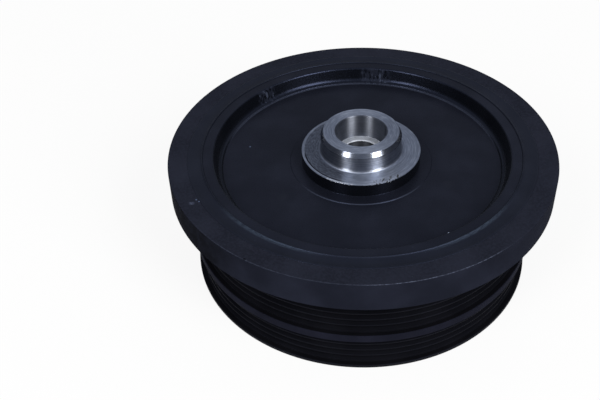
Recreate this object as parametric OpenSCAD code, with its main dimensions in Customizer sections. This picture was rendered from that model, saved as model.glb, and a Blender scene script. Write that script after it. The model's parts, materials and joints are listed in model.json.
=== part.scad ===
// Crankshaft vibration damper with two belt tracks, all sizes in millimetres.
// It stands on the open front end of its belt barrel, with the crank side up.
// Every piece is a body of revolution about Z, drawn as a half section: X is the radius, Y the height.

/* [Belt tracks] */
// Pitch of the belt ribs
rib_pitch = 3.56; // [2.34, 3.56, 4.7]
// Angle between the two flanks of a groove, in degrees
groove_angle = 40; // [36:1:44]
// Depth of a groove below the rib crests
groove_depth = 3.1; // [1.6:0.05:3.2]
// Width that a rib would have at its crest if its tip weren't rounded
rib_tip_w = 0.5; // [0.4:0.05:0.7]
// Radius of the rib crests
crest_r = 78.9; // [77:0.1:81]
// Number of grooves in the track on the crank side
crank_track_grooves = 6; // [3:1:8]
// Number of grooves in the track at the open front end
front_track_grooves = 4; // [3:1:8]
// Extra land between the outermost half rib and the wall beside it
track_edge_w = 0.45; // [0.2:0.05:1]
// Height of the lips and the middle band above the rib crests
lip_h = 2.3; // [1:0.1:4]
// Width of the lip at the open front end
front_lip_w = 1.7; // [1:0.1:4]
// Width of the flat band between the two tracks
band_w = 4.1; // [2:0.1:10]
// Width of the lip on the crank side
crank_lip_w = 1.6; // [1:0.1:4]
// Edge break on the lips and the band
lip_chamfer = 0.3; // [0.1:0.05:0.45]

/* [Barrel cavity] */
// Wall of the barrel under the grooves, at the open end
barrel_wall_t = 5.6; // [4:0.1:9]
// Draft of the cavity wall and of the front boss, in degrees
cavity_draft = 1.2; // [0.5:0.1:3]
// Chamfer at the mouth of the cavity
cavity_chamfer = 0.8; // [0.3:0.1:1.5]
// Fillet where the web meets the barrel and the front boss
cavity_fillet_r = 4; // [1:0.5:6]

/* [Inertia ring] */
// Radial width of the inertia ring
ring_w = 9.4; // [6:0.1:20]
// Thickness of the inertia ring along the axis
ring_h = 14.4; // [10:0.1:20]
// Gap between the inertia ring and the crank side lip
ring_gap = 1.7; // [0.8:0.1:4]
// Rounding of the outer edge on the crank side
ring_edge_r = 0.4; // [0.2:0.1:2]
// Chamfer of the other edges of the inertia ring
ring_chamfer = 0.4; // [0.1:0.1:0.8]

/* [Rubber ring] */
// Radial thickness of the rubber
rubber_t = 5.4; // [3:0.1:8]
// How far the crank side lip reaches past the rubber, which it covers
rubber_cover_w = 0.6; // [0.4:0.1:2]
// How far the rubber's lip over the rim stands proud of the metal faces
rim_lip_h = 0.4; // [0.1:0.05:0.8]
// How far the rubber's lip over the inertia ring stands proud of the metal faces
ring_lip_h = 0.1; // [0.05:0.05:0.4]
// Width of the flat top of the lip over the rim
rim_lip_w = 0.3; // [0.2:0.1:1]
// Radial width of each steep side of the lip over the rim
rim_lip_side_w = 0.3; // [0.1:0.05:0.5]
// Radial width of the steep side of the lip over the inertia ring
ring_lip_side_w = 0.1; // [0.05:0.05:0.5]
// Depth of the trough between the lips, below the metal faces
rubber_trough_h = 0.25; // [0.1:0.05:0.6]
// Distance of the trough's lowest line from the rim
rubber_trough_w = 2.2; // [1.8:0.1:3]
// Radius of the trough's section
rubber_trough_r = 12; // [8:0.5:20]
// Depth of the hollow in the rubber's hidden face
rubber_dish = 0.8; // [0.3:0.1:1.5]

/* [Hub rim and bowl] */
// Radial thickness of the rim at its face
rim_t = 6.3; // [4:0.1:9]
// Radial width of the bevel on the rim's outer edge, which the rubber covers
rim_bevel_w = 1.4; // [0.8:0.1:2]
// Depth of the bevel on the rim's outer edge
rim_bevel_h = 0.9; // [0.4:0.1:1.5]
// Rounding of the bowl's edge
bowl_edge_r = 1.1; // [0.2:0.1:2]
// Depth of the bowl below the rim
bowl_depth = 7.3; // [5:0.1:9]
// Draft of the bowl's wall, in degrees
bowl_draft = 15; // [5:1:25]
// Fillet between the bowl's wall and its floor
bowl_fillet_r = 2.5; // [1:0.1:4]
// Height of the turned step at the foot of that fillet
bowl_step_h = 0.3; // [0.05:0.05:0.5]
// Thickness of the web under the bowl
web_t = 9; // [6:0.5:14]

/* [Centre boss and nose] */
// Diameter of the raised pad round the boss
pad_d = 66; // [60:1:80]
// Height of the raised pad
pad_h = 0.3; // [0.1:0.1:1]
// Diameter of the boss
boss_d = 55.4; // [50:0.2:59]
// How far the boss face lies below the rim
boss_drop = 0.6; // [0:0.1:2]
// Width of the bevelled band along the edge of the boss face
boss_bevel_w = 1.4; // [0.5:0.1:2]
// Depth of that bevelled band
boss_bevel_h = 0.15; // [0.05:0.05:0.5]
// Diameter of the nose
nose_d = 37.5; // [34:0.1:40]
// Height of the nose above the boss face
nose_h = 9.9; // [8:0.1:14]
// Radial width of the lead chamfer on the nose
nose_chamfer_w = 1.15; // [0.5:0.05:1.5]
// Height of the lead chamfer on the nose
nose_chamfer_h = 2.1; // [1:0.1:3]
// Fillet at the root of the nose
nose_fillet_r = 2; // [0.5:0.1:2.5]
// Height of the fine turned line above the boss face
nose_line_z = 4; // [3:0.1:5]
// Width of that fine turned line
nose_line_w = 0.4; // [0.2:0.05:0.6]
// Depth of that fine turned line
nose_line_depth = 0.08; // [0.04:0.01:0.2]

/* [Bores] */
// Diameter of the hole for the centre bolt
bolt_hole_d = 17; // [13:0.5:21]
// Diameter of the bore that seats on the crank's spigot
spigot_bore_d = 23.6; // [23:0.1:27]
// Depth of the spigot bore below the end of the nose
spigot_bore_depth = 11.8; // [8:0.1:16]
// Chamfer at the mouths of the bores
bore_chamfer = 0.45; // [0.2:0.05:0.8]

/* [Bolt seat] */
// Distance from the end of the nose to the bolt seat
hub_l = 42; // [32:0.5:48]
// Radius of the front boss at its end
front_boss_r = 27; // [25:0.5:34]
// Diameter of the faced bolt seat
seat_d = 43; // [38:0.5:46]
// Depth of the bolt seat in the end of the front boss
seat_depth = 1; // [0.5:0.1:2]
// Chamfer on the end of the front boss
front_boss_chamfer = 1; // [0.5:0.1:1.5]

/* [Hidden] */
$fn = 240;

overlap = 0.2;
bore_run_out = 1;
rib_tip_facets = 32;
groove_slope = tan(groove_angle / 2);
groove_floor_r = crest_r - groove_depth;
lip_r = crest_r + lip_h;
rib_tip_r = rib_tip_w / 2 / (1 / cos(groove_angle / 2) - groove_slope);
rib_root_half_w = rib_tip_w / 2 + groove_depth * groove_slope;

front_track_w = front_track_grooves * rib_pitch + 2 * track_edge_w;
crank_track_w = crank_track_grooves * rib_pitch + 2 * track_edge_w;
front_track_z = front_lip_w;
band_z = front_track_z + front_track_w;
crank_track_z = band_z + band_w;
crank_lip_z = crank_track_z + crank_track_w;
barrel_top_z = crank_lip_z + crank_lip_w;

ring_bore_r = lip_r - rubber_cover_w;
ring_r = ring_bore_r + ring_w;
rim_r = ring_bore_r - rubber_t;
ring_z = barrel_top_z + ring_gap;
rim_top_z = ring_z + ring_h;

bowl_r = rim_r - rim_t;
bowl_floor_r = bowl_r - (bowl_depth - bowl_step_h) * tan(bowl_draft);
web_top_z = rim_top_z - bowl_depth;
web_z = web_top_z - web_t;
boss_face_z = rim_top_z - boss_drop;
nose_top_z = boss_face_z + nose_h;
spigot_floor_z = nose_top_z - spigot_bore_depth;
seat_z = nose_top_z - hub_l;
front_boss_z = seat_z - seat_depth;

nose_r = nose_d / 2;
boss_r = boss_d / 2;
pad_r = pad_d / 2;
spigot_bore_r = spigot_bore_d / 2;
bolt_hole_r = bolt_hole_d / 2;
seat_r = seat_d / 2;
mouth_r = groove_floor_r - barrel_wall_t;
cavity_root_r = mouth_r - web_z * tan(cavity_draft);
front_boss_root_r = front_boss_r + (web_z - front_boss_z) * tan(cavity_draft);

// A rectangle of the section, from one radius and height to another
module block(r0, z0, r1, z1) {
    translate([r0, z0])
        square([r1 - r0, z1 - z0]);
}

// Material that fills an inside corner with a concave fillet
// out_r and out_z are 1 or -1 and point from the corner into the open space
module corner_fillet(r, z, radius, out_r, out_z) {
    translate([r, z])
        scale([out_r, out_z])
            difference() {
                translate([-overlap, -overlap])
                    square(radius + overlap);
                translate([radius, radius])
                    circle(radius);
            }
}

// Distance from a corner of the bowl's wall to where a rounding of that radius starts
function wall_cut(radius) = radius * tan(45 - bowl_draft / 2);

// What a rounding adds to the corner between the bowl's floor and its wall, with the corner at the origin
// Turned by half a turn, it is what a rounding takes off the corner between the wall and the rim's face
module wall_rounding(radius) {
    cut = wall_cut(radius);
    wall_end = [cut * sin(bowl_draft), cut * cos(bowl_draft)];
    difference() {
        polygon([
            [overlap, -overlap],
            wall_end + [overlap, 0],
            wall_end,
            [-cut, radius],
            [-cut, -overlap]
        ]);
        translate([-cut, radius])
            circle(radius);
    }
}

// Material to take off an outside corner to leave a convex rounding
// in_r and in_z are 1 or -1 and point from the corner into the material
module corner_rounding(r, z, radius, in_r, in_z) {
    translate([r, z])
        scale([in_r, in_z])
            difference() {
                translate([-overlap, -overlap])
                    square(radius + overlap);
                translate([radius, radius])
                    circle(radius);
            }
}

// One full rib: straight flanks up to the round tip that touches them both
module rib(z) {
    tip_flank_r = crest_r - rib_tip_r * (1 - sin(groove_angle / 2));
    tip_flank_half_w = rib_tip_r * cos(groove_angle / 2);
    polygon([
        [groove_floor_r - overlap, z - rib_root_half_w],
        [groove_floor_r, z - rib_root_half_w],
        [tip_flank_r, z - tip_flank_half_w],
        [tip_flank_r, z + tip_flank_half_w],
        [groove_floor_r, z + rib_root_half_w],
        [groove_floor_r - overlap, z + rib_root_half_w]
    ]);
    translate([crest_r - rib_tip_r, z])
        circle(rib_tip_r, $fn = rib_tip_facets);
}

// The land beside a wall at height z, with a groove flank above and below
module end_land(z) {
    root_half_w = track_edge_w + rib_root_half_w;
    crest_half_w = track_edge_w + rib_tip_w / 2;
    polygon([
        [groove_floor_r - overlap, z - root_half_w],
        [groove_floor_r, z - root_half_w],
        [crest_r, z - crest_half_w],
        [crest_r, z + crest_half_w],
        [groove_floor_r, z + root_half_w],
        [groove_floor_r - overlap, z + root_half_w]
    ]);
}

// The ribs of one track that starts at height z, with the half of each end land that lies in it
module track_ribs(z, grooves) {
    track_w = grooves * rib_pitch + 2 * track_edge_w;
    intersection() {
        block(groove_floor_r - overlap, z - overlap, crest_r, z + track_w + overlap);
        union() {
            end_land(z);
            end_land(z + track_w);
            for (i = [1 : grooves - 1])
                rib(z + track_edge_w + i * rib_pitch);
        }
    }
}

// A lip or band that stands proud of the ribs, with both outer edges broken
module lip(z0, z1) {
    polygon([
        [groove_floor_r - overlap, z0],
        [lip_r - lip_chamfer, z0],
        [lip_r, z0 + lip_chamfer],
        [lip_r, z1 - lip_chamfer],
        [lip_r - lip_chamfer, z1],
        [groove_floor_r - overlap, z1]
    ]);
}

// Wall of the barrel under the grooves, drafted inside and open at the front
module barrel_wall() {
    mouth_chamfer_r = mouth_r + cavity_chamfer;
    polygon([
        [mouth_chamfer_r, 0],
        [groove_floor_r, 0],
        [groove_floor_r, barrel_top_z],
        [cavity_root_r, barrel_top_z],
        [cavity_root_r, web_z],
        [mouth_r - cavity_chamfer * tan(cavity_draft), cavity_chamfer]
    ]);
}

module belt_barrel() {
    barrel_wall();
    lip(0, front_lip_w);
    lip(band_z, crank_track_z);
    lip(crank_lip_z, barrel_top_z);
    track_ribs(front_track_z, front_track_grooves);
    track_ribs(crank_track_z, crank_track_grooves);
}

// Rim that carries the rubber, bevelled outside and rounded towards the bowl
module rim() {
    step_r = bowl_floor_r - wall_cut(bowl_fillet_r);
    step_z = web_top_z + bowl_step_h;
    difference() {
        polygon([
            [bowl_floor_r, web_z],
            [rim_r, web_z],
            [rim_r, rim_top_z - rim_bevel_h],
            [rim_r - rim_bevel_w, rim_top_z],
            [bowl_r, rim_top_z],
            [bowl_floor_r, step_z]
        ]);
        translate([bowl_r, rim_top_z])
            rotate(180)
                wall_rounding(bowl_edge_r);
    }
    translate([bowl_floor_r, step_z])
        wall_rounding(bowl_fillet_r);
    polygon([
        [step_r - bowl_step_h, web_top_z],
        [bowl_floor_r + overlap, web_top_z],
        [bowl_floor_r + overlap, step_z],
        [step_r, step_z]
    ]);
}

module web() {
    block(0, web_z, bowl_floor_r + overlap, web_top_z);
    corner_fillet(cavity_root_r, web_z, cavity_fillet_r, -1, -1);
    corner_fillet(front_boss_root_r, web_z, cavity_fillet_r, 1, -1);
    polygon([
        [0, web_top_z],
        [pad_r + pad_h, web_top_z],
        [pad_r, web_top_z + pad_h],
        [0, web_top_z + pad_h]
    ]);
}

// Boss on the crank side, with the fine bevelled band along its edge
module boss() {
    polygon([
        [0, web_z],
        [boss_r, web_z],
        [boss_r, boss_face_z - boss_bevel_h],
        [boss_r - boss_bevel_w, boss_face_z],
        [0, boss_face_z]
    ]);
}

module nose() {
    polygon([
        [0, boss_face_z - overlap],
        [nose_r, boss_face_z - overlap],
        [nose_r, boss_face_z + nose_line_z - nose_line_w / 2],
        [nose_r - nose_line_depth, boss_face_z + nose_line_z],
        [nose_r, boss_face_z + nose_line_z + nose_line_w / 2],
        [nose_r, nose_top_z - nose_chamfer_h],
        [nose_r - nose_chamfer_w, nose_top_z],
        [0, nose_top_z]
    ]);
    corner_fillet(nose_r, boss_face_z, nose_fillet_r, 1, 1);
}

// Boss on the front side that carries the bolt seat
module front_boss() {
    polygon([
        [0, front_boss_z],
        [front_boss_r - front_boss_chamfer, front_boss_z],
        [front_boss_r, front_boss_z + front_boss_chamfer],
        [front_boss_root_r, web_z],
        [front_boss_root_r, web_z + overlap],
        [0, web_z + overlap]
    ]);
}

// Bolt hole, spigot bore and bolt seat, with their chamfered mouths
module bores() {
    polygon([
        [0, front_boss_z - bore_run_out],
        [seat_r, front_boss_z - bore_run_out],
        [seat_r, seat_z],
        [bolt_hole_r + bore_chamfer, seat_z],
        [bolt_hole_r, seat_z + bore_chamfer],
        [bolt_hole_r, spigot_floor_z - bore_chamfer],
        [bolt_hole_r + bore_chamfer, spigot_floor_z],
        [spigot_bore_r, spigot_floor_z],
        [spigot_bore_r, nose_top_z - bore_chamfer],
        [spigot_bore_r + bore_chamfer, nose_top_z],
        [spigot_bore_r + bore_chamfer, nose_top_z + bore_run_out],
        [0, nose_top_z + bore_run_out]
    ]);
}

// One casting: nose, boss, web, rim and the belt barrel with both tracks
module pulley_hub() {
    color("#2b2d36")
        rotate_extrude()
            difference() {
                union() {
                    belt_barrel();
                    rim();
                    web();
                    boss();
                    nose();
                    front_boss();
                }
                bores();
            }
}

// Space above the rubber's trough, which is one wide arc up to the outer side of the lip over the rim
module trough_space() {
    low_r = rim_r + rubber_trough_w;
    low_z = rim_top_z - rubber_trough_h;
    lip_z = rim_top_z + rim_lip_h;
    lip_edge_r = rim_r - rim_bevel_w + rim_lip_side_w + rim_lip_w;
    side_slope = rim_lip_side_w / rim_lip_h;
    intersection() {
        translate([low_r, low_z + rubber_trough_r])
            circle(rubber_trough_r);
        polygon([
            [lip_edge_r + (lip_z - low_z) * side_slope, low_z],
            [ring_r, low_z],
            [ring_r, lip_z + overlap],
            [lip_edge_r - overlap * side_slope, lip_z + overlap]
        ]);
    }
}

// Space under the hollow in the rubber's hidden face
module dish_space() {
    half_w = rubber_t / 2;
    dish_arc_r = (half_w * half_w + rubber_dish * rubber_dish) / (2 * rubber_dish);
    translate([rim_r + half_w, ring_z + ring_chamfer + rubber_dish - dish_arc_r])
        circle(dish_arc_r);
}

// Rubber moulded between the rim and the inertia ring, with a proud lip over the edge of each
module rubber_ring() {
    rim_lip_z = rim_top_z + rim_lip_h;
    rim_lip_r = rim_r - rim_bevel_w;
    ring_lip_z = rim_top_z + ring_lip_h;
    ring_lip_r = ring_bore_r + ring_chamfer;
    color("#26282f")
        rotate_extrude()
            difference() {
                polygon([
                    [rim_r, ring_z + ring_chamfer],
                    [ring_bore_r, ring_z + ring_chamfer],
                    [ring_bore_r, rim_top_z - ring_chamfer],
                    [ring_lip_r, rim_top_z],
                    [ring_lip_r - ring_lip_side_w, ring_lip_z],
                    [rim_r + rubber_trough_w, ring_lip_z],
                    [rim_r + rubber_trough_w, rim_lip_z],
                    [rim_lip_r + rim_lip_side_w, rim_lip_z],
                    [rim_lip_r, rim_top_z],
                    [rim_r, rim_top_z - rim_bevel_h]
                ]);
                trough_space();
                dish_space();
            }
}

// Plain heavy ring that floats on the rubber
module inertia_ring() {
    color("#2f313b")
        rotate_extrude()
            difference() {
                polygon([
                    [ring_bore_r + ring_chamfer, ring_z],
                    [ring_r - ring_chamfer, ring_z],
                    [ring_r, ring_z + ring_chamfer],
                    [ring_r, rim_top_z],
                    [ring_bore_r + ring_chamfer, rim_top_z],
                    [ring_bore_r, rim_top_z - ring_chamfer],
                    [ring_bore_r, ring_z + ring_chamfer]
                ]);
                corner_rounding(ring_r, rim_top_z, ring_edge_r, -1, -1);
            }
}

pulley_hub();
rubber_ring();
inertia_ring();
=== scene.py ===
"""Looks of a crankshaft damper that stands on the open end of its belt barrel, crank side up."""
import json
import math

import bpy
from mathutils import Matrix, Vector


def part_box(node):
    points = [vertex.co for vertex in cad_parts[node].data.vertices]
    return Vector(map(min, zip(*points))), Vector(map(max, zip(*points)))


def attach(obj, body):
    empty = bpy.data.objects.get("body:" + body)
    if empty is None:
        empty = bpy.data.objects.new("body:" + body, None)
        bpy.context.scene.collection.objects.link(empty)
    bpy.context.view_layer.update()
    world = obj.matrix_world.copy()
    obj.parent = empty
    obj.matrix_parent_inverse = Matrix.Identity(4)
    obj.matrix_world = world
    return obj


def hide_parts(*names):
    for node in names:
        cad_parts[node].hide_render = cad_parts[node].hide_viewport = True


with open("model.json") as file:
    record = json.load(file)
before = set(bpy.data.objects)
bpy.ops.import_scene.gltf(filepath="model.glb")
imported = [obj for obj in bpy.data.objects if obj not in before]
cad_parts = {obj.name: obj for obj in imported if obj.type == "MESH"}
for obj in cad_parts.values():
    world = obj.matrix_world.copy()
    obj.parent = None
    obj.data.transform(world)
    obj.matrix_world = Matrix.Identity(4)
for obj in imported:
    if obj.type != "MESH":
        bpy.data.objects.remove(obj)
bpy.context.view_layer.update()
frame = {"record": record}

# Sections are drawn in millimetres: radius across, height up
MM = 0.001
MOUNTS = {mount["name"]: mount for mount in frame["record"]["mounts"]}
# Roundings of a section's corners: FINE_EDGE breaks an edge, SHARP leaves it
FINE_EDGE = 0.1
SHARP = 0.0
# How finely the sections and their roundings are cut
SPIN_STEPS = 200
ARC_STEP = math.radians(16)
FINE_ARC_STEP = math.radians(45)
CURVE_STEPS = 12
SUPPORT = 0.07
LONG_STRETCH = 1.0
SAME_PLACE = 0.001


def node_size(node):
    """(low height, high height, radius) of a node of the frame, in millimetres."""
    low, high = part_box(node)
    return tuple(round(v / MM, 2) for v in (low.z, high.z, high.x))


def mount_radius(name):
    return MOUNTS[name]["dims"]["r_mm"]


def mount_height(name):
    return round(MOUNTS[name]["pos_m"][2] / MM, 2)


# Belt tracks
_, NOSE_TOP_Z, LIP_R = node_size("pulley_hub")
RIB_PITCH = 3.56
GROOVE_SLOPE = math.tan(math.radians(20))
GROOVE_DEPTH = 3.1
RIB_TIP_W = 0.5
CREST_R = LIP_R - 2.3
GROOVE_FLOOR_R = CREST_R - GROOVE_DEPTH
CRANK_TRACK_GROOVES = 6
FRONT_TRACK_GROOVES = 4
TRACK_EDGE_W = 0.45
LIP_CHAMFER = 0.3
FRONT_LIP_W = 1.7
BAND_W = 4.1
CRANK_LIP_W = 1.6
RIB_APEX_R = CREST_R + RIB_TIP_W / 2 / GROOVE_SLOPE
RIB_TIP_R = RIB_TIP_W / 2 / (math.hypot(1, GROOVE_SLOPE) - GROOVE_SLOPE)
RIB_ROOT_HALF_W = RIB_TIP_W / 2 + GROOVE_DEPTH * GROOVE_SLOPE
FRONT_TRACK_W = FRONT_TRACK_GROOVES * RIB_PITCH + 2 * TRACK_EDGE_W
CRANK_TRACK_W = CRANK_TRACK_GROOVES * RIB_PITCH + 2 * TRACK_EDGE_W
BAND_Z = FRONT_LIP_W + FRONT_TRACK_W
CRANK_TRACK_Z = BAND_Z + BAND_W
CRANK_LIP_Z = CRANK_TRACK_Z + CRANK_TRACK_W
BARREL_TOP_Z = CRANK_LIP_Z + CRANK_LIP_W

# Inertia ring and rubber
RING_Z, RIM_TOP_Z, RING_R = node_size("inertia_ring")
_, RUBBER_TOP_Z, RING_LIP_R = node_size("rubber_ring")
RING_CHAMFER = 0.4
RING_EDGE_R = 0.4
RING_BORE_R = RING_LIP_R - RING_CHAMFER
RIM_R = RING_BORE_R - 5.4
RIM_BEVEL_W = 1.4
RIM_BEVEL_H = 0.9
RIM_LIP_W = 0.3
RIM_LIP_SIDE_W = 0.3
RIM_LIP_OUTER_W = 0.45
RIM_LIP_FOOT_R = 1.0
RIM_LIP_EDGE_R = RIM_R - RIM_BEVEL_W + RIM_LIP_SIDE_W + RIM_LIP_W
RING_LIP_H = 0.1
RING_LIP_SIDE_W = 0.1
TROUGH_LOW_R = RIM_R + 2.2
TROUGH_LOW_Z = RIM_TOP_Z - 0.25
TROUGH_ARC_R = 12
RUBBER_DISH = 0.8

# Bowl, boss and nose
BOWL_R = RIM_R - 6.3
BOWL_EDGE_R = 1.1
BOWL_DEPTH = 7.3
BOWL_DRAFT = math.radians(15)
BOWL_FILLET_R = 2.5
BOWL_STEP_H = 0.3
BOWL_STEP_ROUNDING = 0.45
BOWL_FLOOR_R = BOWL_R - (BOWL_DEPTH - BOWL_STEP_H) * math.tan(BOWL_DRAFT)
BOWL_STEP_R = BOWL_FLOOR_R - BOWL_FILLET_R * math.tan(math.radians(45) - BOWL_DRAFT / 2)
WEB_TOP_Z = RIM_TOP_Z - BOWL_DEPTH
WEB_Z = WEB_TOP_Z - 9
PAD_R = 33
PAD_H = 0.3
BOSS_R = 27.7
BOSS_FACE_Z = mount_height("crank_seat")
BOSS_BEVEL_W = 1.4
BOSS_BEVEL_H = 0.15
NOSE_R = mount_radius("nose")
NOSE_CHAMFER_W = 1.15
NOSE_CHAMFER_H = 2.1
NOSE_FILLET_R = 2
NOSE_LINE_Z = BOSS_FACE_Z + 4
NOSE_LINE_W = 0.4
NOSE_LINE_DEPTH = 0.08

# Bores, bolt seat and cavity
SPIGOT_BORE_R = mount_radius("spigot_bore")
SPIGOT_FLOOR_Z = NOSE_TOP_Z - 11.8
BOLT_HOLE_R = mount_radius("bolt_hole")
BORE_CHAMFER = 0.45
SEAT_Z = mount_height("bolt_seat")
SEAT_R = 21.5
FRONT_BOSS_Z = SEAT_Z - 1
FRONT_BOSS_R = 27
FRONT_BOSS_CHAMFER = 1
CAVITY_SLOPE = math.tan(math.radians(1.2))
CAVITY_CHAMFER = 0.8
CAVITY_FILLET_R = 4
MOUTH_R = GROOVE_FLOOR_R - 5.6
CAVITY_ROOT_R = MOUTH_R - WEB_Z * CAVITY_SLOPE
FRONT_BOSS_ROOT_R = FRONT_BOSS_R + (WEB_Z - FRONT_BOSS_Z) * CAVITY_SLOPE


def track_corners(z, grooves):
    """Corners of one belt track, from the wall at height z up to the wall beyond its last groove."""
    crest_half_w = TRACK_EDGE_W + RIB_TIP_W / 2
    root_half_w = TRACK_EDGE_W + RIB_ROOT_HALF_W
    top = z + grooves * RIB_PITCH + 2 * TRACK_EDGE_W
    corners = [
        (CREST_R, z, FINE_EDGE, "barrel"),
        (CREST_R, z + crest_half_w, FINE_EDGE, "barrel"),
        (GROOVE_FLOOR_R, z + root_half_w, FINE_EDGE, "barrel"),
    ]
    for i in range(1, grooves):
        rib_z = z + TRACK_EDGE_W + i * RIB_PITCH
        corners += [
            (GROOVE_FLOOR_R, rib_z - RIB_ROOT_HALF_W, FINE_EDGE, "barrel"),
            (RIB_APEX_R, rib_z, RIB_TIP_R, "barrel"),
            (GROOVE_FLOOR_R, rib_z + RIB_ROOT_HALF_W, FINE_EDGE, "barrel"),
        ]
    corners += [
        (GROOVE_FLOOR_R, top - root_half_w, FINE_EDGE, "barrel"),
        (CREST_R, top - crest_half_w, FINE_EDGE, "barrel"),
        (CREST_R, top, FINE_EDGE, "barrel"),
    ]
    return corners


def lip_corners(low_z, high_z, finish="barrel"):
    """Corners of a lip or band, with both outer edges broken."""
    return [
        (LIP_R - LIP_CHAMFER, low_z, FINE_EDGE, finish),
        (LIP_R, low_z + LIP_CHAMFER, FINE_EDGE, finish),
        (LIP_R, high_z - LIP_CHAMFER, FINE_EDGE, finish),
        (LIP_R - LIP_CHAMFER, high_z, FINE_EDGE, "barrel"),
    ]


def hub_section():
    """Section of the casting: out along the open end, up the barrel, in over the rim, down the bores."""
    corners = lip_corners(0, FRONT_LIP_W)
    corners += track_corners(FRONT_LIP_W, FRONT_TRACK_GROOVES)
    corners += lip_corners(BAND_Z, CRANK_TRACK_Z, "band")
    corners += track_corners(CRANK_TRACK_Z, CRANK_TRACK_GROOVES)
    corners += lip_corners(CRANK_LIP_Z, BARREL_TOP_Z)
    corners += [
        (RIM_R, BARREL_TOP_Z, FINE_EDGE, "barrel"),
        (RIM_R, RIM_TOP_Z - RIM_BEVEL_H, FINE_EDGE, "turned_paint"),
        (RIM_R - RIM_BEVEL_W, RIM_TOP_Z, FINE_EDGE, "turned_paint"),
        (BOWL_R, RIM_TOP_Z, BOWL_EDGE_R, "wall_paint"),
        (BOWL_FLOOR_R, WEB_TOP_Z + BOWL_STEP_H, BOWL_FILLET_R, "wall_paint"),
        (BOWL_STEP_R, WEB_TOP_Z + BOWL_STEP_H, BOWL_STEP_ROUNDING, "wall_paint"),
        (BOWL_STEP_R - BOWL_STEP_H, WEB_TOP_Z, BOWL_STEP_ROUNDING, "turned_paint"),
        (PAD_R + PAD_H, WEB_TOP_Z, FINE_EDGE, "turned_paint"),
        (PAD_R, WEB_TOP_Z + PAD_H, FINE_EDGE, "turned_paint"),
        (BOSS_R, WEB_TOP_Z + PAD_H, FINE_EDGE, "wall_paint"),
        (BOSS_R, BOSS_FACE_Z - BOSS_BEVEL_H, FINE_EDGE, "face_steel"),
        (BOSS_R - BOSS_BEVEL_W, BOSS_FACE_Z, FINE_EDGE, "face_steel"),
        (NOSE_R, BOSS_FACE_Z, NOSE_FILLET_R, "turned_steel"),
        (NOSE_R, NOSE_LINE_Z - NOSE_LINE_W / 2, SHARP, "turned_steel"),
        (NOSE_R - NOSE_LINE_DEPTH, NOSE_LINE_Z, SHARP, "turned_steel"),
        (NOSE_R, NOSE_LINE_Z + NOSE_LINE_W / 2, SHARP, "turned_steel"),
        (NOSE_R, NOSE_TOP_Z - NOSE_CHAMFER_H, FINE_EDGE, "chamfer_steel"),
        (NOSE_R - NOSE_CHAMFER_W, NOSE_TOP_Z, FINE_EDGE, "face_steel"),
        (SPIGOT_BORE_R + BORE_CHAMFER, NOSE_TOP_Z, FINE_EDGE, "bore_steel"),
        (SPIGOT_BORE_R, NOSE_TOP_Z - BORE_CHAMFER, FINE_EDGE, "bore_steel"),
        (SPIGOT_BORE_R, SPIGOT_FLOOR_Z, FINE_EDGE, "milled_steel"),
        (BOLT_HOLE_R + BORE_CHAMFER, SPIGOT_FLOOR_Z, FINE_EDGE, "milled_steel"),
        (BOLT_HOLE_R, SPIGOT_FLOOR_Z - BORE_CHAMFER, FINE_EDGE, "drilled_steel"),
        (BOLT_HOLE_R, SEAT_Z + BORE_CHAMFER, FINE_EDGE, "drilled_steel"),
        (BOLT_HOLE_R + BORE_CHAMFER, SEAT_Z, FINE_EDGE, "face_steel"),
        (SEAT_R, SEAT_Z, FINE_EDGE, "face_steel"),
        (SEAT_R, FRONT_BOSS_Z, FINE_EDGE, "cast_paint"),
        (FRONT_BOSS_R - FRONT_BOSS_CHAMFER, FRONT_BOSS_Z, FINE_EDGE, "cast_paint"),
        (FRONT_BOSS_R, FRONT_BOSS_Z + FRONT_BOSS_CHAMFER, FINE_EDGE, "cast_paint"),
        (FRONT_BOSS_ROOT_R, WEB_Z, CAVITY_FILLET_R, "cast_paint"),
        (CAVITY_ROOT_R, WEB_Z, CAVITY_FILLET_R, "cast_paint"),
        (MOUTH_R - CAVITY_CHAMFER * CAVITY_SLOPE, CAVITY_CHAMFER, FINE_EDGE, "cast_paint"),
        (MOUTH_R + CAVITY_CHAMFER, 0, FINE_EDGE, "barrel"),
    ]
    return corners


def trough_corners():
    """The rubber's trough, from the ring to where it meets the steep side of the lip over the rim."""
    slope = RIM_LIP_OUTER_W / (RUBBER_TOP_Z - RIM_TOP_Z)
    gap = TROUGH_LOW_R - RIM_LIP_EDGE_R - slope * (RUBBER_TOP_Z - TROUGH_LOW_Z)
    lean = TROUGH_ARC_R - slope * gap
    foot_h = (lean - math.sqrt(lean**2 - (1 + slope**2) * gap**2)) / (1 + slope**2)
    low_turn = -math.acos(1 - foot_h / TROUGH_ARC_R)
    high_turn = math.acos(1 - (RIM_TOP_Z + RING_LIP_H - TROUGH_LOW_Z) / TROUGH_ARC_R)
    corners = []
    for i in range(CURVE_STEPS + 1):
        turn = high_turn + (low_turn - high_turn) * i / CURVE_STEPS
        r = TROUGH_LOW_R + TROUGH_ARC_R * math.sin(turn)
        z = TROUGH_LOW_Z + TROUGH_ARC_R * (1 - math.cos(turn))
        corners.append((r, z, SHARP if i < CURVE_STEPS else RIM_LIP_FOOT_R, "rubber"))
    return corners


def dish_corners():
    """The hollow in the rubber's hidden face, from the rim to the ring."""
    half_w = (RING_BORE_R - RIM_R) / 2
    arc_r = (half_w**2 + RUBBER_DISH**2) / (2 * RUBBER_DISH)
    top_z = RING_Z + RING_CHAMFER + RUBBER_DISH
    corners = []
    for i in range(CURVE_STEPS + 1):
        offset = half_w * (2 * i / CURVE_STEPS - 1)
        drop = arc_r - math.sqrt(arc_r**2 - offset**2)
        corners.append((RIM_R + half_w + offset, top_z - drop, SHARP, "rubber"))
    return corners


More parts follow.
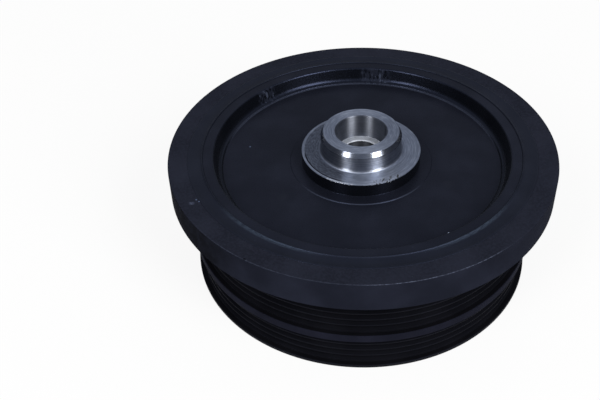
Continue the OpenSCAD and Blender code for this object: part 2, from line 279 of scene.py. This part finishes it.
def rubber_section():
    corners = dish_corners()
    corners += [
        (RING_BORE_R, RIM_TOP_Z - RING_CHAMFER, SHARP, "rubber"),
        (RING_LIP_R, RIM_TOP_Z, SHARP, "rubber"),
        (RING_LIP_R - RING_LIP_SIDE_W, RIM_TOP_Z + RING_LIP_H, SHARP, "rubber"),
    ]
    corners += trough_corners()
    corners += [
        (RIM_LIP_EDGE_R, RUBBER_TOP_Z, FINE_EDGE, "rubber"),
        (RIM_LIP_EDGE_R - RIM_LIP_W, RUBBER_TOP_Z, FINE_EDGE, "rubber"),
        (RIM_R - RIM_BEVEL_W, RIM_TOP_Z, SHARP, "rubber"),
        (RIM_R, RIM_TOP_Z - RIM_BEVEL_H, SHARP, "rubber"),
    ]
    return corners


def ring_section():
    return [
        (RING_BORE_R + RING_CHAMFER, RING_Z, FINE_EDGE, "face"),
        (RING_R - RING_CHAMFER, RING_Z, FINE_EDGE, "side"),
        (RING_R, RING_Z + RING_CHAMFER, FINE_EDGE, "side"),
        (RING_R, RIM_TOP_Z, RING_EDGE_R, "face"),
        (RING_BORE_R + RING_CHAMFER, RIM_TOP_Z, SHARP, "face"),
        (RING_BORE_R, RIM_TOP_Z - RING_CHAMFER, SHARP, "face"),
        (RING_BORE_R, RING_Z + RING_CHAMFER, SHARP, "face"),
    ]


def arc_points(corner, before_dir, after_dir, rounding):
    """A corner as a list of points: itself if it is sharp, or the arc that rounds it."""
    if rounding == SHARP:
        return [corner]
    half = before_dir.angle(after_dir) / 2
    cut = rounding / math.tan(half)
    centre = corner + (before_dir + after_dir).normalized() * (rounding / math.sin(half))
    start = corner + before_dir * cut - centre
    end = corner + after_dir * cut - centre
    turn = start.angle_signed(end)
    arc_step = FINE_ARC_STEP if rounding == FINE_EDGE else ARC_STEP
    steps = max(2, math.ceil(abs(turn) / arc_step))
    return [centre + Matrix.Rotation(-turn * i / steps, 2) @ start for i in range(steps + 1)]


def round_corners(corners):
    """Points (radius, height, finish) of a closed section, with each rounded corner as an arc.

    A straight stretch gets one more point near each of its ends, which keeps its shading flat."""
    points = []
    for i, (r, z, rounding, finish) in enumerate(corners):
        corner = Vector((r, z))
        before = Vector(corners[i - 1][:2]) - corner
        after = Vector(corners[(i + 1) % len(corners)][:2]) - corner
        before_dir, after_dir = before.normalized(), after.normalized()
        arc = arc_points(corner, before_dir, after_dir, rounding)
        finish_before = corners[i - 1][3]
        cut = (arc[0] - corner).length
        straight = LONG_STRETCH if rounding == SHARP else 2 * SUPPORT
        if before.length > cut + straight:
            points.append((*(arc[0] + before_dir * SUPPORT), finish_before))
        middle = len(arc) / 2
        for step, point in enumerate(arc):
            points.append((*point, finish_before if step + 1 < middle else finish))
        if after.length > cut + straight:
            points.append((*(arc[-1] + after_dir * SUPPORT), finish))
    before = points[-1:] + points
    return [p for p, last in zip(points, before) if math.dist(p[:2], last[:2]) > SAME_PLACE]


def spin(name, corners, finishes):
    """A closed mesh: the section turned once round Z, each stretch in the material of its finish."""
    points = round_corners(corners)
    spokes = []
    for step in range(SPIN_STEPS):
        angle = 2 * math.pi * step / SPIN_STEPS
        spokes.append((math.cos(angle) * MM, math.sin(angle) * MM))
    verts = [(r * c, r * s, z * MM) for r, z, _ in points for c, s in spokes]
    faces = []
    for row in range(len(points)):
        low = row * SPIN_STEPS
        high = (row + 1) % len(points) * SPIN_STEPS
        for step in range(SPIN_STEPS):
            following = (step + 1) % SPIN_STEPS
            faces.append((low + step, low + following, high + following, high + step))
    mesh = bpy.data.meshes.new(name)
    mesh.from_pydata(verts, [], faces)
    names = list(finishes)
    for finish in names:
        mesh.materials.append(finishes[finish])
    indexes = [names.index(finish) for _, _, finish in points for _ in range(SPIN_STEPS)]
    mesh.polygons.foreach_set("material_index", indexes)
    mesh.polygons.foreach_set("use_smooth", [True] * len(faces))
    mesh.update()
    piece = bpy.data.objects.new(name, mesh)
    bpy.context.scene.collection.objects.link(piece)
    return piece


def colour(red, green, blue):
    """Linear colour with full alpha from screen values of 0 to 255."""
    linear = []
    for value in (red, green, blue):
        v = value / 255
        linear.append(v / 12.92 if v <= 0.04045 else ((v + 0.055) / 1.055) ** 2.4)
    return (*linear, 1)


class Finish:
    """One material and short ways to add nodes to it. Positions in it are in millimetres.

    Its colour, roughness and metal share start even and take marks one over the other."""

    def __init__(self, name, base, roughness, metallic=0.0, specular=0.5):
        self.material = bpy.data.materials.new(name)
        self.material.use_nodes = True
        self.tree = self.material.node_tree
        self.shader = self.tree.nodes["Principled BSDF"]
        self.shader.inputs["Specular IOR Level"].default_value = specular
        self.colour = base
        self.roughness = roughness
        self.metal = metallic
        self.normal = None
        coords = self.node("ShaderNodeTexCoord").outputs["Object"]
        self.place = self.vector("MULTIPLY", coords, (1 / MM,) * 3)
        flat = self.vector("MULTIPLY", self.place, (1, 1, 0))
        self.radius = self.vector("LENGTH", flat, output="Value")
        split = self.node("ShaderNodeSeparateXYZ", {0: self.place})
        self.x, self.y, self.z = split.outputs
        self.along = self.math("ADD", self.radius, self.z)
        front = self.math("MULTIPLY", self.y, -1.0)
        turn = self.math("ARCTAN2", self.x, front)
        self.turn = self.math("MULTIPLY", turn, math.degrees(1))

    def node(self, kind, links=None, **settings):
        node = self.tree.nodes.new(kind)
        for key, value in settings.items():
            setattr(node, key, value)
        for key, value in (links or {}).items():
            if isinstance(value, bpy.types.NodeSocket):
                self.tree.links.new(value, node.inputs[key])
            else:
                node.inputs[key].default_value = value
        return node

    def math(self, operation, a, b=0.0):
        return self.node("ShaderNodeMath", {0: a, 1: b}, operation=operation).outputs[0]

    def both(self, *masks):
        """Product of several masks."""
        total = masks[0]
        for mask in masks[1:]:
            total = self.math("MULTIPLY", total, mask)
        return total

    def vector(self, operation, a, b=(0, 0, 0), output="Vector"):
        return self.node("ShaderNodeVectorMath", {0: a, 1: b}, operation=operation).outputs[output]

    def noise(self, size, detail=3.0, stretch=(1, 1, 1)):
        """Noise from 0 to 1 whose patches are about size across."""
        where = self.vector("MULTIPLY", self.place, stretch)
        links = {"Vector": where, "Scale": 1 / size, "Detail": detail}
        return self.node("ShaderNodeTexNoise", links).outputs["Fac"]

    def rings(self, size, detail=2.0):
        """Turning marks: noise that changes only across the section, size apart."""
        links = {"W": self.along, "Scale": 1 / size, "Detail": detail}
        return self.node("ShaderNodeTexNoise", links, noise_dimensions="1D").outputs["Fac"]

    def arcs(self, across, length, detail=3.0):
        """Noise drawn out along circles: across in millimetres, length in degrees."""
        where = self.node("ShaderNodeCombineXYZ", {0: self.radius, 1: self.turn}).outputs[0]
        where = self.vector("MULTIPLY", where, (1 / across, 1 / length, 0))
        links = {"Vector": where, "Scale": 1.0, "Detail": detail}
        return self.node("ShaderNodeTexNoise", links).outputs["Fac"]

    def spots(self, size, reach):
        """1 within reach of scattered points about size apart, 0 elsewhere."""
        links = {"Vector": self.place, "Scale": 1 / size}
        distance = self.node("ShaderNodeTexVoronoi", links).outputs["Distance"]
        return self.ramp(distance, reach, reach * 0.5)

    def ramp(self, value, low, high, out_low=0.0, out_high=1.0):
        """Maps low to high onto out_low to out_high, smoothly and clamped."""
        links = {"Value": value, "From Min": low, "From Max": high}
        links.update({"To Min": out_low, "To Max": out_high})
        node = self.node("ShaderNodeMapRange", links, interpolation_type="SMOOTHSTEP")
        return node.outputs["Result"]

    def near(self, place, reach, squash=(1, 1, 1)):
        """1 at a place, falling to 0 at reach from it."""
        offset = self.vector("SUBTRACT", self.place, place)
        offset = self.vector("MULTIPLY", offset, squash)
        return self.ramp(self.vector("LENGTH", offset, output="Value"), reach, reach * 0.4)

    def band(self, value, low, high, soft):
        """1 between low and high, falling to 0 over soft beyond each."""
        rise = self.ramp(value, low - soft, low)
        fall = self.ramp(value, high + soft, high)
        return self.both(rise, fall)

    def mix(self, fac, a, b, kind="RGBA"):
        first = {"FLOAT": 2, "RGBA": 6}[kind]
        node = self.node("ShaderNodeMix", {"Factor": fac}, data_type=kind)
        for key, value in ((first, a), (first + 1, b)):
            if isinstance(value, bpy.types.NodeSocket):
                self.tree.links.new(value, node.inputs[key])
            else:
                node.inputs[key].default_value = value
        return node.outputs[{"FLOAT": 0, "RGBA": 2}[kind]]

    def mark(self, mask, shade, roughness=None, metal=None):
        """Lays a mark over the finish: its colour, roughness and metal share where the mask is 1."""
        self.colour = self.mix(mask, self.colour, shade)
        if roughness is not None:
            self.roughness = self.mix(mask, self.roughness, roughness, kind="FLOAT")
        if metal is not None:
            self.metal = self.mix(mask, self.metal, metal, kind="FLOAT")

    def bump(self, height, depth):
        """Adds relief: height runs from 0 to 1 over depth millimetres."""
        links = {"Height": height, "Distance": depth * MM}
        if self.normal:
            links["Normal"] = self.normal
        self.normal = self.node("ShaderNodeBump", links).outputs["Normal"]

    def done(self):
        values = {
            "Base Color": self.colour,
            "Roughness": self.roughness,
            "Metallic": self.metal,
            "Normal": self.normal,
        }
        for key, value in values.items():
            if isinstance(value, bpy.types.NodeSocket):
                self.tree.links.new(value, self.shader.inputs[key])
            elif value is not None:
                self.shader.inputs[key].default_value = value
        return self.material


PAINT_GLOSS_TINT = (0.5, 0.6, 1.0, 1)
DUST = colour(80, 92, 118)
# Grey of real streaks, also used for painted glints on the ring
GREY_STREAK_AND_GLINT = colour(52, 57, 70)
# Lighter grey painted as a highlight along small edges
PAINTED_EDGE_HIGHLIGHT = colour(44, 48, 60)
BRIGHT_CHIP = colour(165, 178, 205)
BARE_PAINT = colour(9, 10, 13)

# Cloudy patches and dust specks of the paint, in millimetres
CLOUD_SIZE = 18
CLOUD_GAIN = 1.5
DUSTY_PATCH_SIZE = 9
SPECK_SPACING = 3.1
SPECK_REACH = 0.035
TURNING_MARK_W = 0.5

# Places of the marks that the photo shows: X and Y in millimetres
WEB_STAINS = ((-34.7, -28.5), (39.6, -17.8))
WEB_SPECK = (-53.4, 8.9)
WEB_CHIP = (37.7, -50.6)
WALL_MIDDLE_Z = (WEB_TOP_Z + RIM_TOP_Z) / 2
WALL_PATCHES = (((7, 67, WALL_MIDDLE_Z), 9.5), ((-48.6, 48, WALL_MIDDLE_Z), 7))
WALL_STREAKS = ((9.4, 66.9, WALL_MIDDLE_Z + 0.6), (-48.4, 47.8, WALL_MIDDLE_Z + 0.4))
RING_SMEAR = (-73.3, -42.3)
RING_DOTS = ((-71.6, -39.8), (-70.2, -41.0))
RING_CHIP = (-46.4, -76.7)
# A painted glint at the edge of the chip
RING_CHIP_PAINTED_GLINT = (-45.7, -77.1)
RING_SIDE_PATCH = (-77, -47)
# Stretches of the marks that run round: first and last turn in degrees
# Worn outer edge of the ring, with a painted highlight on it at the front
RING_EDGE_WEAR_AND_GLINT_RIGHT = (6, 34)
RING_EDGE_WEAR_AND_GLINT_LEFT = (-40, -6)
# Scuffs and a painted highlight along the rubber's lip
RUBBER_SCUFFS_AND_SHEEN = ((-38, -27), (36, 44))
# The left of the boss face, darker and mottled
BOSS_DARKER_SIDE = (-128, -28)
# A painted shadow line inside the boss's bevel
BOSS_SHADOW_LINE = (-75, -22)
BOSS_BURR = (-33, -8)
BOSS_PAINT_CREEP = (15, 40)
# Their radii
RING_EDGE_WEAR_AND_GLINT_R = (RING_R - 0.35, RING_R)
RUBBER_SCUFF_AND_SHEEN_R = (RIM_LIP_EDGE_R, RIM_LIP_EDGE_R + 0.6)
BOSS_SHADOW_LINE_R = (26.1, 26.5)
BOSS_BURR_R = (BOSS_R - 0.7, BOSS_R + 0.1)
BOSS_PAINT_CREEP_R = (25.4, 28)


def black_paint(name, base, roughness, specular, grain, grain_size, rings):
    """Black paint: cloudy, with dust specks, and grain and turning marks of a depth in millimetres."""
    finish = Finish(name, base, roughness, specular=specular)
    finish.shader.inputs["Specular Tint"].default_value = PAINT_GLOSS_TINT
    lighter = tuple(CLOUD_GAIN * c for c in base[:3]) + (1,)
    finish.mark(finish.ramp(finish.noise(CLOUD_SIZE, detail=4), 0.35, 0.75), lighter)
    dusty = finish.ramp(finish.noise(DUSTY_PATCH_SIZE), 0.5, 0.62)
    finish.mark(finish.both(finish.spots(SPECK_SPACING, SPECK_REACH), dusty), DUST)
    fine = finish.noise(grain_size, detail=3)
    finish.roughness = finish.ramp(fine, 0.3, 0.7, roughness - 0.05, roughness + 0.07)
    finish.bump(fine, grain)
    finish.bump(finish.rings(TURNING_MARK_W), rings)
    return finish


def bare_steel(name, base, roughness, anisotropy):
    """Turned bare steel: cloudy, with a reflection that is drawn out across the turning marks."""
    finish = Finish(name, base, roughness, metallic=1.0)
    finish.shader.inputs["Anisotropic"].default_value = anisotropy
    finish.shader.inputs["Anisotropic Rotation"].default_value = 0.25
    tangent = finish.node("ShaderNodeTangent", direction_type="RADIAL", axis="Z")
    finish.tree.links.new(tangent.outputs[0], finish.shader.inputs["Tangent"])
    darker = tuple(0.62 * c for c in base[:3]) + (1,)
    finish.mark(finish.ramp(finish.noise(4, detail=4), 0.65, 0.35, 0.0, 0.5), darker)
    return finish


def step_painted_highlight(finish):
    """Mask of a painted highlight along the back of the small step at the foot of the bowl's wall."""
    line = finish.band(finish.radius, BOWL_STEP_R - BOWL_STEP_H, BOWL_STEP_R + BOWL_STEP_H, 0.4)
    uneven = finish.ramp(finish.noise(1.5), 0.2, 0.5, 0.6, 1.0)
    return finish.both(line, finish.ramp(finish.y, 5, 30), uneven)


def turned_paint():
    """Paint of the rim's face and the web."""
    finish = black_paint(
        "turned_paint", colour(20, 22, 30), 0.3, 0.18, grain=0.002, grain_size=0.5, rings=0.0015
    )
    # Painted highlight along the front of the pad's edge
    pad_edge = finish.band(finish.radius, PAD_R, PAD_R + PAD_H, 0.15)
    finish.mark(finish.both(pad_edge, finish.ramp(finish.y, -15, -29)), PAINTED_EDGE_HIGHLIGHT)
    # Painted highlight along the back of the bowl's step
    finish.mark(step_painted_highlight(finish), PAINTED_EDGE_HIGHLIGHT)
    for place in WEB_STAINS:
        stain = finish.near((*place, WEB_TOP_Z), 3.4)
        finish.mark(finish.both(stain, finish.noise(1.2)), colour(27, 29, 37))
    finish.mark(finish.near((*WEB_SPECK, WEB_TOP_Z), 0.55), DUST)
    finish.mark(finish.near((*WEB_CHIP, WEB_TOP_Z), 0.42), BRIGHT_CHIP)
    return finish.done()


def wall_paint():
    """Glossier paint on the bowl's wall, with two rough patches at its back."""
    finish = black_paint(
        "wall_paint", colour(7, 8, 11), 0.28, 0.38, grain=0.0005, grain_size=0.5, rings=0.0005
    )
    # Painted highlight along the back of the bowl's step
    finish.mark(step_painted_highlight(finish), PAINTED_EDGE_HIGHLIGHT)
    rough = finish.noise(1.3, detail=5, stretch=(1, 1, 0.35))
    for place, reach in WALL_PATCHES:
        patch = finish.near(place, reach)
        dull = finish.both(patch, finish.ramp(rough, 0.42, 0.52))
        finish.mark(dull, colour(12, 13, 17), roughness=0.75)
        finish.mark(finish.both(patch, finish.ramp(rough, 0.6, 0.68)), GREY_STREAK_AND_GLINT)
        finish.bump(finish.both(patch, rough), 0.25)
    for place in WALL_STREAKS:
        finish.mark(finish.near(place, 0.9, squash=(1, 1, 0.3)), GREY_STREAK_AND_GLINT)
    return finish.done()


def cast_paint():
    """Duller paint inside the barrel."""
    return black_paint(
        "cast_paint", colour(13, 15, 21), 0.5, 0.5, grain=0.03, grain_size=0.9, rings=0.0
    ).done()


def barrel_paint():
    """Thin paint on the belt tracks and the lips."""
    return black_paint(
        "barrel_paint", colour(12, 12, 15), 0.5, 0.07, grain=0.002, grain_size=0.5, rings=0.002
    ).done()


def band_paint():
    """Duller and lighter paint on the band between the tracks."""
    return black_paint(
        "band_paint", colour(21, 22, 31), 0.7, 0.015, grain=0.002, grain_size=0.5, rings=0.002
    ).done()


def ring_face_paint():
    """Paint with a fine cast grain on the flat faces of the inertia ring, worn at its outer edge, where
    a painted highlight lies along the front.
    """
    finish = black_paint(
        "ring_face_paint", colour(28, 30, 39), 0.55, 0.04, grain=0.03, grain_size=0.8, rings=0.002
    )
    finish.mark(finish.ramp(finish.noise(0.9, detail=4), 0.4, 0.62, 0.0, 0.5), colour(39, 42, 54))
    smear = finish.near((*RING_SMEAR, RIM_TOP_Z), 1.8, squash=(1, 1.4, 1))
    uneven = finish.ramp(finish.noise(0.6), 0.4, 0.6, 0.1, 0.8)
    finish.mark(finish.both(smear, uneven), colour(84, 92, 114))
    for place in RING_DOTS:
        finish.mark(finish.near((*place, RIM_TOP_Z), 0.5), DUST)
    finish.mark(finish.near((*RING_CHIP, RIM_TOP_Z), 1.0), BARE_PAINT)
    # Painted glint at the chip's edge
    finish.mark(finish.near((*RING_CHIP_PAINTED_GLINT, RIM_TOP_Z), 0.5), GREY_STREAK_AND_GLINT)
    # Worn, speckled outer edge; at the front it also carries a painted highlight
    wear_and_glint = finish.ramp(finish.noise(0.9, detail=4, stretch=(1, 1, 0.6)), 0.35, 0.7, 0.15, 0.9)
    wear_and_glint = finish.both(finish.band(finish.radius, *RING_EDGE_WEAR_AND_GLINT_R, 0.15), wear_and_glint)
    finish.mark(finish.both(wear_and_glint, finish.band(finish.turn, *RING_EDGE_WEAR_AND_GLINT_RIGHT, 10)), colour(84, 90, 108))
    finish.mark(finish.both(wear_and_glint, finish.band(finish.turn, *RING_EDGE_WEAR_AND_GLINT_LEFT, 12)), GREY_STREAK_AND_GLINT)
    return finish.done()


def ring_side_paint():
    """Dull paint round the inertia ring, patchy on its left side."""
    finish = black_paint(
        "ring_side_paint", colour(24, 26, 35), 0.8, 0.01, grain=0.01, grain_size=0.7, rings=0.002
    )
    patch = finish.near((*RING_SIDE_PATCH, RING_Z + 9), 42)
    cloudy = finish.ramp(finish.noise(6), 0.4, 0.6, 0.5, 0.95)
    finish.mark(finish.both(patch, cloudy), colour(14, 15, 20))
    return finish.done()


def rubber_skin():
    """Rubber with lighter streaks along its lip over the rim on both sides of the front: scuffs, and a
    painted highlight for the lip's sheen.
    """
    finish = black_paint(
        "rubber_skin", colour(18, 20, 27), 0.4, 0.3, grain=0.012, grain_size=0.6, rings=0.004
    )
    lip = finish.band(finish.radius, *RUBBER_SCUFF_AND_SHEEN_R, 1.0)
    uneven = finish.ramp(finish.arcs(0.4, 2), 0.38, 0.6, 0.35, 1.0)
    # Lighter streaks: scuffs, and a painted highlight for the lip's glint
    for stretch in RUBBER_SCUFFS_AND_SHEEN:
        scuff_and_sheen = finish.both(lip, finish.band(finish.turn, *stretch, 19), uneven)
        finish.mark(scuff_and_sheen, colour(46, 54, 66))
    return finish.done()


def brush_faces(finish):
    """Turning marks and brushed arcs on the bare faces."""
    rings = finish.rings(0.55, detail=4)
    finish.mark(finish.ramp(rings, 0.6, 0.4), colour(150, 158, 174))
    brushed = finish.arcs(0.45, 16, detail=4)
    finish.mark(finish.ramp(brushed, 0.5, 0.35, 0.0, 0.4), colour(132, 139, 154))
    finish.mark(finish.ramp(brushed, 0.5, 0.68, 0.0, 0.4), colour(222, 229, 240))
    finish.roughness = finish.ramp(rings, 0.3, 0.7, 0.38, 0.48)
    finish.bump(rings, 0.0012)


def face_steel():
    """Bare faces of boss, nose and bolt seat. The boss is darker and mottled on its left, with a painted
    shadow line inside its bevel there; it is burred and has paint on it.
    """
    finish = bare_steel("face_steel", colour(182, 189, 204), 0.42, 0.65)
    brush_faces(finish)
    boss = finish.band(finish.z, BOSS_FACE_Z - BOSS_BEVEL_H - 0.4, BOSS_FACE_Z + 0.1, 0.3)
    # Darker, mottled patch over the left of the boss face
    left = finish.both(boss, finish.band(finish.turn, *BOSS_DARKER_SIDE, 26))
    left = finish.both(left, finish.band(finish.radius, NOSE_R, BOSS_R - BOSS_BEVEL_W - 0.2, 0.5))
    mottled = finish.ramp(finish.arcs(0.7, 5, detail=5), 0.3, 0.7, 1.0, 0.55)
    finish.mark(finish.both(left, mottled), colour(92, 97, 109))
    dark_spots = finish.both(left, finish.ramp(finish.arcs(0.5, 3), 0.58, 0.72))
    dark_spots = finish.both(dark_spots, finish.ramp(finish.noise(3), 0.45, 0.6))
    finish.mark(dark_spots, colour(44, 47, 56), roughness=0.55)
    # Painted shadow line along the inner edge of the boss's bevel
    shadow_line = finish.band(finish.radius, *BOSS_SHADOW_LINE_R, 0.15)
    shadow_line = finish.both(boss, shadow_line, finish.band(finish.turn, *BOSS_SHADOW_LINE, 8))
    finish.mark(shadow_line, colour(30, 32, 40), roughness=0.6)
    ragged = finish.ramp(finish.noise(1.1), 0.42, 0.5)
    burr = finish.both(boss, finish.band(finish.radius, *BOSS_BURR_R, 0.15), ragged)
    burr = finish.both(burr, finish.band(finish.turn, *BOSS_BURR, 3))
    finish.mark(burr, colour(240, 243, 250), roughness=0.25)
    streaks = finish.ramp(finish.noise(0.9, detail=3, stretch=(1, 0.35, 1)), 0.5, 0.56)
    creep = finish.both(boss, finish.band(finish.radius, *BOSS_PAINT_CREEP_R, 0.9), streaks)
    creep = finish.both(creep, finish.band(finish.turn, *BOSS_PAINT_CREEP, 3))
    finish.mark(creep, BARE_PAINT, roughness=0.45, metal=0.0)
    return finish.done()


def milled_steel():
    """Bright frosted shoulder in the bore."""
    finish = bare_steel("milled_steel", colour(226, 231, 240), 0.6, 0.0)
    finish.metal = 0.5
    return finish.done()


def chamfer_steel():
    """Bare chamfer round the end of the nose."""
    return bare_steel("chamfer_steel", colour(172, 178, 192), 0.2, 0.5).done()


def turned_steel():
    """Bare turned side and root of the nose."""
    finish = bare_steel("turned_steel", colour(155, 160, 172), 0.36, 0.95)
    marks = finish.ramp(finish.rings(0.5, detail=3), 0.62, 0.38, 0.0, 0.6)
    finish.mark(marks, colour(105, 109, 119))
    return finish.done()


def bore_steel():
    """Bare wall of the short bore."""
    finish = bare_steel("bore_steel", colour(132, 136, 146), 0.5, 0.98)
    marks = finish.ramp(finish.rings(0.6, detail=3), 0.62, 0.38, 0.0, 0.4)
    finish.mark(marks, colour(105, 109, 119))
    return finish.done()


def drilled_steel():
    """Darker wall of the bolt hole."""
    return bare_steel("drilled_steel", colour(112, 115, 123), 0.45, 0.9).done()


def make_pieces():
    """The dressed form of each node of the frame."""
    hub_finishes = {
        "barrel": barrel_paint(),
        "band": band_paint(),
        "turned_paint": turned_paint(),
        "wall_paint": wall_paint(),
        "cast_paint": cast_paint(),
        "face_steel": face_steel(),
        "milled_steel": milled_steel(),
        "chamfer_steel": chamfer_steel(),
        "turned_steel": turned_steel(),
        "bore_steel": bore_steel(),
        "drilled_steel": drilled_steel(),
    }
    ring_finishes = {"face": ring_face_paint(), "side": ring_side_paint()}
    rubber_finishes = {"rubber": rubber_skin()}
    add_piece("hub_casting", hub_section(), hub_finishes, "pulley_hub")
    add_piece("moulded_rubber", rubber_section(), rubber_finishes, "rubber_ring")
    add_piece("outer_ring", ring_section(), ring_finishes, "inertia_ring")


def add_piece(name, corners, finishes, node):
    piece = spin(name, corners, finishes)
    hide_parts(node)
    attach(piece, "root")


# The camera, as fitted to the circles in the photo
CAMERA_AT = Vector((0.0, -333.4, 310.4)) * MM
CAMERA_AIM = Vector((-26.11, -39.01, 60.9)) * MM
CAMERA_ROLL = math.radians(-2.49)
SENSOR_W = 36.0
FOCAL_LENGTH = 53.34


def add_camera():
    camera = bpy.data.objects.new("camera", bpy.data.cameras.new("camera"))
    camera.data.lens = FOCAL_LENGTH
    camera.data.sensor_width = SENSOR_W
    camera.data.clip_start = 0.01
    turn = (CAMERA_AIM - CAMERA_AT).to_track_quat("-Z", "Y").to_matrix()
    turn = turn @ Matrix.Rotation(CAMERA_ROLL, 3, "Z")
    camera.matrix_world = Matrix.Translation(CAMERA_AT) @ turn.to_4x4()
    bpy.context.scene.collection.objects.link(camera)
    bpy.context.scene.camera = camera


LAMP_TARGET = Vector((0, 0, RIM_TOP_Z * MM))


def add_softbox(name, azimuth, elevation, distance, width, height, radiance):
    """A soft lamp. Azimuth 0 is on the camera's side and grows towards +X, in degrees."""
    lamp = bpy.data.lights.new(name, "AREA")
    lamp.shape = "RECTANGLE"
    lamp.size = width
    lamp.size_y = height
    lamp.energy = radiance * math.pi * width * height
    box = bpy.data.objects.new(name, lamp)
    azimuth, elevation = math.radians(azimuth), math.radians(elevation)
    level = math.cos(elevation)
    out = Vector((math.sin(azimuth) * level, -math.cos(azimuth) * level, math.sin(elevation)))
    box.location = LAMP_TARGET + out * distance
    box.rotation_euler = (-out).to_track_quat("-Z", "Y").to_euler()
    bpy.context.scene.collection.objects.link(box)


FLOOR_HALF_SIZE = 0.6
FLOOR_GLOW_SHARE = 0.88


def background_rays(tree):
    """1 for camera, glossy and transmission rays, which see the white background."""
    path = tree.nodes.new("ShaderNodeLightPath")
    total = path.outputs["Is Camera Ray"]
    for name in ("Is Glossy Ray", "Is Transmission Ray"):
        add = tree.nodes.new("ShaderNodeMath")
        add.operation = "ADD"
        add.use_clamp = True
        tree.links.new(total, add.inputs[0])
        tree.links.new(path.outputs[name], add.inputs[1])
        total = add.outputs[0]
    return total


def add_floor():
    """Pale floor that shows as white and keeps a soft shadow."""
    size = FLOOR_HALF_SIZE
    corners = [(-size, -size, 0), (size, -size, 0), (size, size, 0), (-size, size, 0)]
    mesh = bpy.data.meshes.new("floor")
    mesh.from_pydata(corners, [], [(0, 1, 2, 3)])
    floor = bpy.data.objects.new("floor", mesh)
    bpy.context.scene.collection.objects.link(floor)
    material = bpy.data.materials.new("floor")
    material.use_nodes = True
    tree = material.node_tree
    shader = tree.nodes["Principled BSDF"]
    shader.inputs["Base Color"].default_value = (0.95, 0.95, 0.95, 1)
    shader.inputs["Roughness"].default_value = 0.9
    shader.inputs["Specular IOR Level"].default_value = 0.0
    glow = tree.nodes.new("ShaderNodeEmission")
    glow.inputs["Strength"].default_value = 1.0
    share = tree.nodes.new("ShaderNodeMath")
    share.operation = "MULTIPLY"
    share.inputs[1].default_value = FLOOR_GLOW_SHARE
    tree.links.new(background_rays(tree), share.inputs[0])
    mixer = tree.nodes.new("ShaderNodeMixShader")
    tree.links.new(share.outputs[0], mixer.inputs[0])
    tree.links.new(shader.outputs[0], mixer.inputs[1])
    tree.links.new(glow.outputs[0], mixer.inputs[2])
    tree.links.new(mixer.outputs[0], tree.nodes["Material Output"].inputs["Surface"])
    mesh.materials.append(material)


# Studio walls as gloss sees them, by a unit direction: cool grey above, darker below and at the sides
WALL_GREY = (0.37, 0.395, 0.46, 1)
LOW_WALL_GREY = (0.14, 0.155, 0.19, 1)
SIDE_GREY = (0.05, 0.055, 0.07, 1)
DIFFUSE_GREY = (0.36, 0.36, 0.36, 1)
WHITE = (1, 1, 1, 1)
SIDE_X = (0.4, 0.7)
SIDE_Z = (0.52, 0.32)
LOW_WALL_Z = (0.575, 0.51)
# The lighter backdrop low behind the object
BACKDROP_GREY = (0.34, 0.37, 0.44, 1)
BACKDROP_Z = (0.25, 0.05)
BACKDROP_X = (0.8, 0.6)


def world_ramp(tree, value, limits):
    """0 to 1 between two limits, smoothly and clamped."""
    ramp = tree.nodes.new("ShaderNodeMapRange")
    ramp.interpolation_type = "SMOOTHSTEP"
    tree.links.new(value, ramp.inputs["Value"])
    ramp.inputs["From Min"].default_value, ramp.inputs["From Max"].default_value = limits
    return ramp.outputs["Result"]


def world_math(tree, operation, *values):
    """Result of a math node, clamped to 0 to 1 unless it only drops a sign."""
    node = tree.nodes.new("ShaderNodeMath")
    node.operation = operation
    node.use_clamp = operation != "ABSOLUTE"
    for socket, value in zip(node.inputs, values):
        tree.links.new(value, socket)
    return node.outputs[0]


def world_mix(tree, fac, first, second):
    """Mix of two colours, each a value or the output of another mix."""
    mixer = tree.nodes.new("ShaderNodeMix")
    mixer.data_type = "RGBA"
    tree.links.new(fac, mixer.inputs["Factor"])
    for socket, value in ((mixer.inputs[6], first), (mixer.inputs[7], second)):
        if isinstance(value, bpy.types.NodeSocket):
            tree.links.new(value, socket)
        else:
            socket.default_value = value
    return mixer.outputs[2]


def add_world():
    """Even grey light all round. The camera sees white, and gloss sees the walls and the backdrop."""
    world = bpy.data.worlds.new("studio")
    bpy.context.scene.world = world
    world.use_nodes = True
    tree = world.node_tree
    coords = tree.nodes.new("ShaderNodeTexCoord")
    split = tree.nodes.new("ShaderNodeSeparateXYZ")
    tree.links.new(coords.outputs["Generated"], split.inputs[0])
    sideways = world_math(tree, "ABSOLUTE", split.outputs["X"])
    height = split.outputs["Z"]
    side = world_ramp(tree, sideways, SIDE_X)
    beside = world_math(tree, "MULTIPLY", world_ramp(tree, height, SIDE_Z), side)
    walls = world_mix(tree, world_ramp(tree, height, LOW_WALL_Z), WALL_GREY, LOW_WALL_GREY)
    walls = world_mix(tree, beside, walls, SIDE_GREY)
    low = world_ramp(tree, height, BACKDROP_Z)
    behind = world_math(tree, "MULTIPLY", low, world_ramp(tree, sideways, BACKDROP_X))
    walls = world_mix(tree, behind, walls, BACKDROP_GREY)
    path = tree.nodes.new("ShaderNodeLightPath")
    seen = world_mix(tree, background_rays(tree), DIFFUSE_GREY, walls)
    seen = world_mix(tree, path.outputs["Is Camera Ray"], seen, WHITE)
    tree.links.new(seen, tree.nodes["Background"].inputs["Color"])


make_pieces()
add_camera()
add_floor()
add_world()
add_softbox("left_softbox", -38, 32, distance=2.4, width=0.65, height=1.8, radiance=7.8)
add_softbox("right_softbox", 44, 32, distance=2.4, width=0.95, height=1.8, radiance=8.6)
bpy.context.scene.view_settings.view_transform = "Standard"
